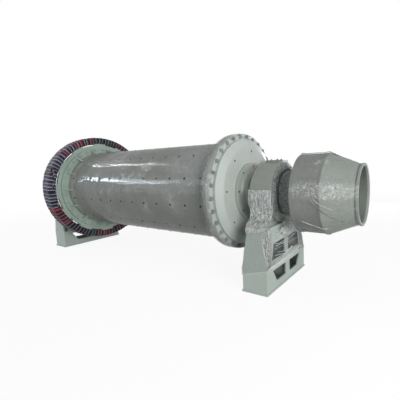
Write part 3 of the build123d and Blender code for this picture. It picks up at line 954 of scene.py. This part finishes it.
def feeder_film_point(u, v):
    angle = 360 * u
    x, radius = along(feeder_film_line, v)
    flat_x = line_length(feeder_film_line) * v
    flat_y = radians(angle) * feeder_radius
    crumple = smooth_step(-0.1, 0.45, wave(x * 2, sin(radians(angle)) * 1.8, 11))
    lift = ruffle(flat_x, flat_y, 9, mix(*feeder_ruffle, crumple))
    if x < drum_low[0] or x > mouth_low[0]:
        lift = 0.4 * abs(lift)
    return around(x, radius + max(lift, 0), angle), (flat_x, flat_y)


skin("feeder_stretch_film", "drum", feeder_film, 240, 100, feeder_film_point, True)


def feeder_film_radius(x):
    """The film's radius at that place along the feeder."""
    for (start, first), (end, second) in zip(feeder_film_line, feeder_film_line[1:]):
        if start <= x <= end and end > start:
            return mix(first, second, (x - start) / (end - start))
    return feeder_film_line[-1][1]


def lying_strand(name, material, start, end, width, height):
    """A narrow fold of film that lies on the feeder between two places (x, angle)."""

    def place(u, share):
        side = u + u - 1
        x, angle = [mix(a, b, share) for a, b in zip(start, end)]
        half = degrees(width * (0.5 + 0.3 * wave(share * 9, 5, 2)) / feeder_radius)
        radius = feeder_film_radius(x) + fold_gap + height * (1 - abs(side))
        angle += 0.5 * wave(share * 4, width * 90, 2) + side * half
        return around(x, radius, angle), (side * half * width, share)

    skin(name, "drum", material, 2, 60, place)


# The dark folds are painted shade; the pale strands are loose film.
lying_strand("feeder_film_fold", painted_shade_film, (0.76, 184), (1.17, 231), 0.014, 0.005)
lying_strand("feeder_film_strand", loose_film, (0.6, 215), (0.9, 229), 0.01, 0.005)
lying_strand("feeder_film_line", loose_film, (0.78, 182), (0.98, 197), 0.006, 0.004)
lying_strand("feeder_film_top_edge", painted_shade_film, (0.46, 101), (0.96, 98), 0.03, 0.008)
lying_strand("feeder_film_top_line", loose_film, (0.48, 106), (0.88, 104), 0.014, 0.004)


def neck_film_point(u, v):
    """Film wound on the neck, between the bearing and the feeder's back, dark as painted shade."""
    x = mix(cap_high[0] + neck_film_gap, tail_end, v)
    crease = abs(ring_wave(u, 7, x * 14))
    radius = mix(neck_radius, neck_end_radius, v * v) + neck_crease * crease
    return around(x, radius, 360 * u), (x, u * girth / 2)


skin("neck_stretch_film", "drum", painted_shade_film, 150, 14, neck_film_point, True)

# Film round the feed bearing, in a loop over the cap and down both sides
half_cap = (cap_high[0] - cap_low[0]) / 2 + film_gap
flange_reach = half_width("feed_bearing_cap") + film_gap + hair_gap
foot_reach = half_width("feed_bearing_base") + film_gap
plate_reach = half_width("feed_pedestal_top_plate") + film_gap
foot_top = seat_height + foot_height
cap_arc = []
for angle in range(24, 80, 4):
    place = around(0, bearing_radius + film_gap, angle)
    cap_arc.append((place.y, place.z))
side_line = [
    (plate_reach, seat_height - bearing_film_hang),
    (plate_reach, seat_height + edge_gap),
    (foot_reach - film_fold, foot_top + film_rise),
    (foot_reach - base_neck_inset, foot_top + base_neck_height),
    (flange_reach, axis_height - cap_flange_below),
    (flange_reach, axis_height + cap_flange_above),
    *cap_arc,
    (half_width("feed_bearing_cover") + film_bend, cover_top + cover_gap),
]
bearing_film_line = side_line + [(-y, z) for y, z in reversed(side_line)]


def bearing_film_point(u, v):
    y, z = along(bearing_film_line, v)
    flat_y = line_length(bearing_film_line) * v
    share = smooth_step(foot_top, seat_height + bulge_height, z)
    half = mix(bearing_foot_half_length + film_gap, half_cap, share)
    if z < foot_top:
        half = mix(wing_top_half_length + strand_gap, half, smooth_step(seat_height, foot_top, z))
    reach = half + bearing_tuck
    travel = (u - 0.5) * 2 * reach
    near_edge = smooth_step(seat_height, foot_top + film_slope, z) * (1 - share)
    wide = half + bearing_near_edge * near_edge if y < 0 else half
    x = max(-half, min(wide, travel * (wide / half if travel > 0 else 1)))
    tuck = max(0, abs(travel) - half)
    middle = Vector((y, z - axis_height))
    outward = middle.normalized() if middle.length else Vector((0, 1))
    lift = abs(ruffle(travel, flat_y, 14, bearing_ruffle))
    if z > axis_height + film_rise:
        lift *= 0.25
    place = middle + outward * (lift if tuck == 0 else -tuck)
    if tuck:
        x += copysign(edge_gap * (1 + wave(v * 40, u * 9, 1)), travel)
    return Vector((x, place.x, axis_height + place.y)), (travel, flat_y)


def bearing_film_keep(u, v):
    """Torn lower edges and ragged sides."""
    y, z = along(bearing_film_line, v)
    edge = 0.5 - abs(u - 0.5)
    ragged = 0.03 + 0.07 * abs(wave(v * 22, 3 if u > 0.5 else 9, 0))
    if z < foot_top + narrow_film_height:
        ragged += 0.13
    torn = smooth_step(seat_height - bearing_film_hang, seat_height - film_hem, z)
    return edge > ragged and torn + 0.6 * wave(u * 9, y, 17) > 0.12


bearing_film = skin(
    "bearing_stretch_film", "stand", smooth_film, 44, 200, bearing_film_point, False, bearing_film_keep
)
bearing_film.data.materials.append(stand_film)
for face in bearing_film.data.polygons:
    face.material_index = 1 if face.center.z < axis_height + bearing_film_hang else 0


def end_film_point(u, v):
    """A ring of film drawn in from the bearing's edge towards the neck, dark as painted shade."""
    angle = 360 * u
    crease = abs(ring_wave(u, 6, v * 3))
    radius = mix(bearing_radius + film_gap, neck_film_radius, v)
    x = cap_high[0] + edge_gap + film_slope * sin(pi * v / 2) + film_fold * crease
    return around(x, radius, angle), (radians(angle) * bearing_radius, radius)


def end_film_keep(u, v):
    return end_film_point(u, v)[0].z > axis_height - end_film_reach


skin("bearing_end_film", "stand", painted_shade_film, 150, 8, end_film_point, True, end_film_keep)

# Film round the upper part of the feed pedestal, wound about its upright line
film_foot = shelf_top - shelf_lap
film_top = plate_top + edge_gap


def pedestal_outline(height):
    """Corners of the taut film at that height: the wings, then the core where it stands out."""
    share = (height - upper_low[2]) / (upper_high[2] - upper_low[2])
    share = min(1, max(0, share))
    lap = film_gap + edge_gap * (1 - smooth_step(shelf_top, shelf_top + film_hem, height))
    wing = mix(upper_high[0], wing_top_half_length, share) + lap
    width = upper_high[1] + lap
    core = max(core_half_length + film_gap, wing)
    core_width = mix(core_half_width, core_top_half_width, share)
    quarter = [(wing, -width), (core, -core_width), (core, core_width), (wing, width)]
    return quarter + [(-x, -y) for x, y in quarter] + [quarter[0]]


def pedestal_film_point(u, v):
    x, y = along(pedestal_outline(film_foot), u)
    end_face = smooth_step(frame_half_width - slant_width, frame_half_width, -y)
    slant_share = min(1, max(0, 0.5 - x / (2 * frame_half_length)))
    height = mix(film_foot - film_slant * end_face * slant_share, film_top, v)
    outline = pedestal_outline(height)
    x, y = along(outline, u)
    flat_x = u * line_length(outline)
    sag = film_bend * wave(flat_x * 3, height * 9, 21)
    lift = abs(ruffle(flat_x, height, 23, bearing_ruffle)) + max(0, sag)
    away = Vector((x, y * 0.15)).normalized()
    return Vector((x + away.x * lift, y + away.y * lift, height)), (flat_x, height)


def pedestal_film_keep(u, v):
    tear = 0.012 + 0.012 * ring_wave(u, 4, 8)
    return tear < v < 0.93


pedestal_film = skin(
    "pedestal_stretch_film", "stand", stand_film, 230, 48, pedestal_film_point, True, pedestal_film_keep
)
pedestal_film.data.materials.append(window_film)
pedestal_film.data.materials.append(face_film)
for face in pedestal_film.data.polygons:
    if abs(face.center.y) > frame_half_width - film_fold:
        face.material_index = 2
    elif abs(face.center.y) < window_reach:
        face.material_index = 1


# Drawn-out strands, torn shreds and a crumpled bunch of film

def ribbon(vertices, uvs, faces, start, end, facing_way, width, sag, seed):
    """A thin twisted strand of film between two points."""
    steps = 18
    faces += grid(1, steps, first=len(vertices))
    line = end - start
    side = line.cross(facing_way).normalized()
    for step in range(steps + 1):
        share = step / steps
        middle = start + line * share + facing_way * (film_bend * wave(share * 5, seed, 0))
        middle += Vector((0, 0, -sag * sin(pi * share)))
        twist = 1.1 * wave(share * 3, seed, 5)
        half = width * (0.55 + 0.45 * wave(share * 6, seed, 9)) / 2
        across = side * cos(twist) * half + facing_way * sin(twist) * half
        vertices += [middle - across, middle + across]
        uvs += [(0, share * line.length), (width, share * line.length)]


def strand_net(name, body, seats, width):
    """One piece with a strand for each seat: its start, its end, the way it faces and its sag."""
    vertices, uvs, faces = [], [], []
    for seed, (start, end, way, sag) in enumerate(seats):
        own_width = width * random.uniform(0.6, 1.3)
        ribbon(vertices, uvs, faces, start, end, way, own_width, sag, seed * 1.7)
    add_mesh(name, vertices, faces, body, loose_film, uvs)


def spot(x, y_range, z_range):
    """A random point at x, within a range across and a range up."""
    return Vector((x, random.uniform(*y_range), random.uniform(*z_range)))


front = Vector((1, 0, 0))
side_way = Vector((0, -1, 0))
strand_face = frame_half_length + strand_gap
outer_face = strand_face + edge_gap
strands = []
corner = Vector((strand_face, -frame_half_width - edge_gap, shelf_top - film_bend))
for place in range(9):
    end = spot(strand_face, *fan_end_range)
    strands.append((corner + spot(0, *fan_start_range), end, front, edge_gap))
for place in range(9):
    height = mix(*band_height_range, place / 8) + random.uniform(*band_height_change)
    start = Vector((strand_face, random.uniform(*band_start_range), height))
    end = spot(strand_face, *band_end_range) + Vector((0, 0, height))
    strands.append((start, end, front, random.uniform(*band_sag_range)))
edge_y = -frame_half_width - film_gap
edge_top = Vector((wing_top_half_length + edge_gap, edge_y, upper_high[2]))
edge_foot = Vector((frame_half_length + edge_gap, edge_y, shelf_top))
for place in range(3):
    top, foot = edge_top + front * (edge_gap * place), edge_foot + front * (film_gap * place)
    strands.append((top, foot, front, 0))
for place in range(14):
    start_y = mix(*shelf_start_range, place / 20)
    start = Vector((outer_face, start_y, random.uniform(*shelf_start_height)))
    end = spot(outer_face, *shelf_end_range)
    strands.append((start, end, front, random.uniform(*shelf_sag_range)))
strand_net("pedestal_film_strands", "stand", strands, strand_width)
low_strands = []
low_y = -frame_half_width - low_edge_side_gap
for place in range(2):
    start = Vector((-frame_half_length, low_y, film_foot - film_slant + film_bend * place))
    end = Vector((frame_half_length + film_bend, low_y, film_foot + edge_gap * place))
    low_strands.append((start, end, side_way, 0))
strand_net("pedestal_film_edge", "stand", low_strands, film_bend)

rim_strands = []
rim_face = feed_face + film_fold
for place in range(46):
    angle = random.uniform(*rim_strand_angles)
    reach = random.uniform(*rim_strand_reach)
    start = around(rim_face, random.uniform(*rim_strand_start), angle)
    end_x = rim_face + random.uniform(0, edge_gap)
    end_radius = random.uniform(*rim_strand_end)
    end = around(end_x, end_radius, angle + random.choice((-1, 1)) * reach)
    rim_strands.append((start, end, front, 0))
strand_net("flange_film_strands", "drum", rim_strands, strand_width)


def crumple_point(u, v):
    """A bunched sheet that lies against the top plate's edge and hangs over the windows."""
    y = mix(*bunch_y_range, u)
    z = mix(*bunch_z_range, v)
    fold = wave(u * 7, v * 5, 3) + 0.6 * wave(u * 19, v * 15, 8)
    bulge = sin(pi * u) * sin(pi * v)
    x = frame_half_length + film_fold + (bunch_fold * abs(fold) + bunch_bulge) * bulge
    slide = bunch_slide * wave(u * 4, v * 4, 12)
    return Vector((x, y + slide, z + slide)), (y, z)


def crumple_keep(u, v):
    off = hypot((u - 0.5) * 2, (v - 0.5) * 2)
    return off < 0.8 + 0.28 * wave(u * 6, v * 6, 30)


skin("bunched_film", "stand", loose_film, 60, 44, crumple_point, False, crumple_keep)


# Floor, backdrop, light and camera

def floor_material():
    """Pale floor that takes the mill's shadow near it and is white in the distance."""
    n = Nodes(bpy.data.materials.new("pale_floor"))
    direct, seen = n.seen()
    pale = n.blend(direct, (0.56, 0.56, 0.56), (0.97, 0.97, 0.97))
    diffuse = n.add("ShaderNodeBsdfDiffuse", {"Color": pale})
    glow = n.add("ShaderNodeEmission", {"Color": (1, 1, 1, 1), "Strength": 1})
    place = n.add("ShaderNodeTexCoord").outputs["Object"]
    far = n.vector("LENGTH", place, output="Value")
    share = n.math("MULTIPLY", seen, n.ramp(far, near_floor, far_floor, 0.9, 1))
    return n.mixed(share, diffuse.outputs[0], glow.outputs[0])


near_floor = 6
far_floor = 14
floor_half = 60
floor_depth = 0.001
floor_corners = [(-1, -1), (1, -1), (1, 1), (-1, 1)]
floor_mesh = bpy.data.meshes.new("floor")
floor_mesh.from_pydata([(x * floor_half, y * floor_half, 0) for x, y in floor_corners], [], [(0, 1, 2, 3)])
floor = new_object("floor", floor_mesh)
floor.location.z = -floor_depth
floor_mesh.materials.append(floor_material())

world = bpy.data.worlds.new("pale_room")
bpy.context.scene.world = world
backdrop = Nodes(world, "ShaderNodeOutputWorld")
room = backdrop.add("ShaderNodeBackground", {"Color": (0.95, 0.98, 1, 1), "Strength": 0.42})
white = backdrop.add("ShaderNodeBackground", {"Color": (1, 1, 1, 1), "Strength": 1})
backdrop.mixed(backdrop.seen()[1], room.outputs[0], white.outputs[0])

# Lamps: place, target, width and length in metres, power in watts, colour, and whether they only reflect
cool = (0.97, 0.99, 1)
middle = (-1.8, 0, 1.2)
lamps = {
    "key": ((7.5, -5, 3.3), middle, (4, 4), 740, (1, 1, 0.99), False),
    "top": ((-1.5, -1, 7.5), middle, (8, 5), 20, cool, False),
    "left_fill": ((-7, -6, 2.4), middle, (4, 3), 130, cool, False),
    "back_fill": ((-2, 9, 2.2), middle, (6, 3), 240, cool, False),
    "ceiling_strip": ((-7.1, -1.26, 4.5), (-7.1, -1.26, 0), (4.6, 0.05), 140, (1, 1, 1), True),
    "far_window": ((-13, -6.6, 4.5), (-3, -1, 1.6), (4.4, 1.1), 700, (0.76, 0.91, 1), True),
}
for name, (place, target, size, power, colour, reflected_only) in lamps.items():
    data = bpy.data.lights.new(name, "AREA")
    data.shape = "RECTANGLE"
    data.size, data.size_y = size
    data.energy = power
    data.color = colour
    lamp = new_object(name, data)
    lamp.location = place
    lamp.visible_camera = False
    lamp.visible_diffuse = not reflected_only
    lamp.rotation_mode = "QUATERNION"
    lamp.rotation_quaternion = (Vector(target) - Vector(place)).to_track_quat("-Z", "Y")

# The camera, from the fit to the photograph
image_side = 400
focal_pixels = 280.9
sensor = 36
camera_place = (1.906, -3.683, 1.712)
camera_azimuth = 31.111
camera_elevation = 6.87
camera_roll = -1.646
principal_right = 56.8
principal_down = -0.94

camera_data = bpy.data.cameras.new("camera")
camera_data.sensor_width = sensor
camera_data.lens = focal_pixels * sensor / image_side
camera_data.shift_x = -principal_right / image_side
camera_data.shift_y = principal_down / image_side
camera = new_object("camera", camera_data)
azimuth, elevation = radians(camera_azimuth), radians(camera_elevation)
roll = radians(camera_roll)
sideways = cos(elevation)
back = Vector((sin(azimuth) * sideways, -cos(azimuth) * sideways, sin(elevation)))
level = (-back).cross(Vector((0, 0, 1))).normalized()
upright = level.cross(-back)
right = level * cos(roll) + upright * sin(roll)
up = upright * cos(roll) - level * sin(roll)
turned = Matrix((right, up, back)).transposed().to_4x4()
camera.matrix_world = Matrix.Translation(camera_place) @ turned
bpy.context.scene.camera = camera
bpy.context.scene.view_settings.view_transform = "Standard"
